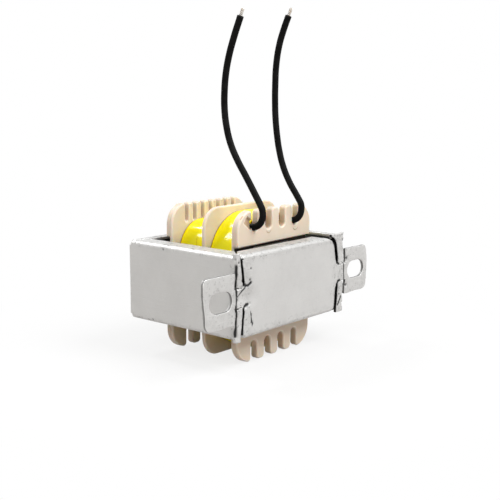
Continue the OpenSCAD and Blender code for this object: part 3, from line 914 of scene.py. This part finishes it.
def film_height(u, at, turn, end_turn):
    """Height of the film's surface, which is highest along the middle of the coil."""
    height = -TAPE_CROWN * abs(2 * u - 1) ** 2.4
    lap = ease(u, *LAP_RISES) * (1 - ease(u, *LAP_FALLS))
    end = ease(turn + END_SLANT * (u - 0.5), end_turn, end_turn + END_STEP)
    height -= TAPE_LAP * (1 - lap) + TAPE_LAP * 0.8 * end
    ripple = noise.noise(Vector((at.x * 0.5, u * 5, at.y * 0.5)))
    pucker = abs(noise.noise(Vector((at.x * 1.1 + 4, u * 2, at.y * 1.1)))) * abs(2 * u - 1) ** 3
    return height - RIPPLE * (1 + ripple) - PUCKER * pucker


def creased(turn, u, crease):
    """How deep the film is folded at a turn and a share of its width: 1 along the crease."""
    if not crease:
        return 0
    line = [(t / CREASE_UNIT, share) for t, share in crease]
    return 1 - ease(line_gap(Vector((turn / CREASE_UNIT, u)), line), *CREASE_W)


def make_tape(node, radius, end_turn, crease=()):
    """Crowned wrap of film tape, with its laps, its end, a crease and puckered edges."""
    low, high = mm_box(node)
    across = 56
    inner = -(TAPE_T + TAPE_CROWN + 2 * TAPE_LAP)
    bm = bmesh.new()
    dirt_and_shade = bm.verts.layers.float.new("dirt_and_shade")
    rings = []
    for at, out in coil_loop(low, high, radius, 48, 14):
        ring = []
        turn = math.degrees(math.atan2(out.y, out.x))
        for i in range(across + 1):
            u = i / across
            fold = creased(turn, u, crease)
            p = at + out * (film_height(u, at, turn, end_turn) - CREASE_DEPTH * fold)
            vert = bm.verts.new(Vector((p.x, low.y + (high.y - low.y) * u, p.y)) * MM)
            # Painted shade along both edges, where the flanges meet the tape, and darker along the crease
            vert[dirt_and_shade] = max(1 - ease(u, 0, 0.05), ease(u, 0.95, 1), 0.7 * fold)
            ring.append(vert)
        for y in (high.y, low.y):
            p = at + out * inner
            ring.append(bm.verts.new(Vector((p.x, y, p.y)) * MM))
        rings.append(ring)
    skin_rings(bm, rings, wrap=True)
    add_piece(node + "_wrap", mesh_from(bm, node + "_wrap", TAPE), "tape", node)


def make_winding(node, radius):
    """Winding whose layers of wire and film show at its ends."""
    low, high = mm_box(node)
    outer_in = TAPE_CROWN + 3 * TAPE_LAP
    skin = Vector((outer_in, 0, outer_in))
    arcs, runs = 20, 10
    outer = coil_loop(low + skin, high - skin, radius - TAPE_T - outer_in, arcs, runs)
    middle = (low + high) / 2
    hole = Vector((COIL_HOLE[0] / 2, 0, COIL_HOLE[1] / 2))
    inner = coil_loop(middle - hole, middle + hole, COIL_HOLE_R, arcs, runs)
    profile, wires = [], []
    for k in range(COIL_LAYERS):
        for share, sunk, wire in LAYER:
            profile.append(((k + share) / COIL_LAYERS, sunk))
            wires.append(wire)
    bm = bmesh.new()
    rings = []
    for (at, _), (core, _) in zip(outer, inner):
        ring = []
        for face, sign in ((low.y, 1), (high.y, -1)):
            for t, sunk in profile[::sign]:
                p = core + (at - core) * t
                ring.append(bm.verts.new(Vector((p.x, face + sign * sunk, p.y)) * MM))
        rings.append(ring)
    skin_rings(bm, rings, wrap=True, material=wires + wires[::-1])
    add_piece(node + "_layers", mesh_from(bm, node + "_layers", FILM_EDGE, WIRE), "copper", node)


make_tape("front_tape", FRONT_COIL_R, FRONT_TAPE_END)
make_tape("rear_tape", REAR_COIL_R, REAR_TAPE_END, TAPE_CREASE)
make_winding("front_winding", FRONT_COIL_R)
make_winding("rear_winding", REAR_COIL_R)


# Stage

# Colour of the floor as it is seen, and as it lights the part from below
FLOOR_TONE = (0.72, 0.72, 0.72)
FLOOR_GLOW = (0.42, 0.37, 0.34)
# Share of the floor's own shading that shows near the part, and the metres between which it fades
SHADOW_SHARE = 0.22
SHADOW_FADES = (0.02, 0.08)
# Level of the surround as a light, and the lamps' distance and aim in metres
SKY_LEVEL = 0.17
LAMP_AWAY = 1.0
LIGHT_AT = Vector((0, 0, 0.02))


def make_floor():
    """Pale floor that keeps the shadow near the part and runs into white further out."""
    bm = bmesh.new()
    bmesh.ops.create_grid(bm, x_segments=1, y_segments=1, size=3)
    mesh = bpy.data.meshes.new("floor")
    bm.to_mesh(mesh)
    bm.free()
    floor = bpy.data.objects.new("floor", mesh)
    bpy.context.scene.collection.objects.link(floor)
    s = Shader("floor")
    path = s.add("ShaderNodeLightPath").outputs
    seen = path["Is Camera Ray"]
    for ray in ("Is Glossy Ray", "Is Transmission Ray"):
        seen = s.add("ShaderNodeMath", {0: seen, 1: path[ray]}, operation="MAXIMUM").outputs["Value"]
    s.set(Base_Color=s.blend(seen, FLOOR_GLOW, FLOOR_TONE), Roughness=0.9, Specular_IOR_Level=0.1)
    white = s.add("ShaderNodeEmission", {"Color": (1, 1, 1, 1), "Strength": 1})
    reach = s.add("ShaderNodeVectorMath", {0: s.coords}, operation="LENGTH")
    far = s.add("ShaderNodeMapRange", {
        "Value": reach.outputs["Value"], "From Min": SHADOW_FADES[0], "From Max": SHADOW_FADES[1],
        "To Min": 1 - SHADOW_SHARE, "To Max": 1})
    share = s.times(far.outputs["Result"], seen)
    both = s.add("ShaderNodeMixShader", {
        0: share, 1: s.surface.outputs["BSDF"], 2: white.outputs["Emission"]})
    s.links.new(both.outputs["Shader"], s.nodes["Material Output"].inputs["Surface"])
    mesh.materials.append(s.material)


def make_world():
    """White surround: what the camera and gloss see is white, what lights the part is faint."""
    world = bpy.data.worlds.new("studio")
    bpy.context.scene.world = world
    world.use_nodes = True
    nodes, links = world.node_tree.nodes, world.node_tree.links
    nodes.clear()
    path = nodes.new("ShaderNodeLightPath")
    seen = path.outputs["Is Camera Ray"]
    for ray in ("Is Glossy Ray", "Is Transmission Ray"):
        most = nodes.new("ShaderNodeMath")
        most.operation = "MAXIMUM"
        links.new(seen, most.inputs[0])
        links.new(path.outputs[ray], most.inputs[1])
        seen = most.outputs[0]
    mix = nodes.new("ShaderNodeMixShader")
    links.new(seen, mix.inputs[0])
    for place, strength in ((1, SKY_LEVEL), (2, 1)):
        sky = nodes.new("ShaderNodeBackground")
        sky.inputs["Color"].default_value = (1, 1, 1, 1)
        sky.inputs["Strength"].default_value = strength
        links.new(sky.outputs[0], mix.inputs[place])
    links.new(mix.outputs[0], nodes.new("ShaderNodeOutputWorld").inputs["Surface"])


def make_lamp(name, toward, size, level, tint=(1, 1, 1)):
    """Square soft lamp; at level 1 a white surface that faces it renders white."""
    data = bpy.data.lights.new(name, "AREA")
    data.color = tint
    data.size = size
    data.energy = level * math.pi ** 2 * LAMP_AWAY ** 2
    lamp = bpy.data.objects.new(name, data)
    bpy.context.scene.collection.objects.link(lamp)
    lamp.location = LIGHT_AT + Vector(toward).normalized() * LAMP_AWAY
    lamp.rotation_euler = (LIGHT_AT - lamp.location).to_track_quat("-Z", "Y").to_euler()


make_floor()
make_world()
make_lamp("key", (0.3, -0.8, 0.95), 0.5, 1.04)
make_lamp("front", (-0.25, -1, 0.3), 0.6, 0.14)
make_lamp("left", (-0.8, -0.05, 0.6), 0.4, 0.35, (1, 0.98, 0.95))
make_lamp("glint_low", (-0.4, 0.64, 0.66), 0.16, 0.24)
make_lamp("glint_high", (-0.02, 0.64, 0.77), 0.16, 0.27)
bpy.context.scene.view_settings.view_transform = "Standard"
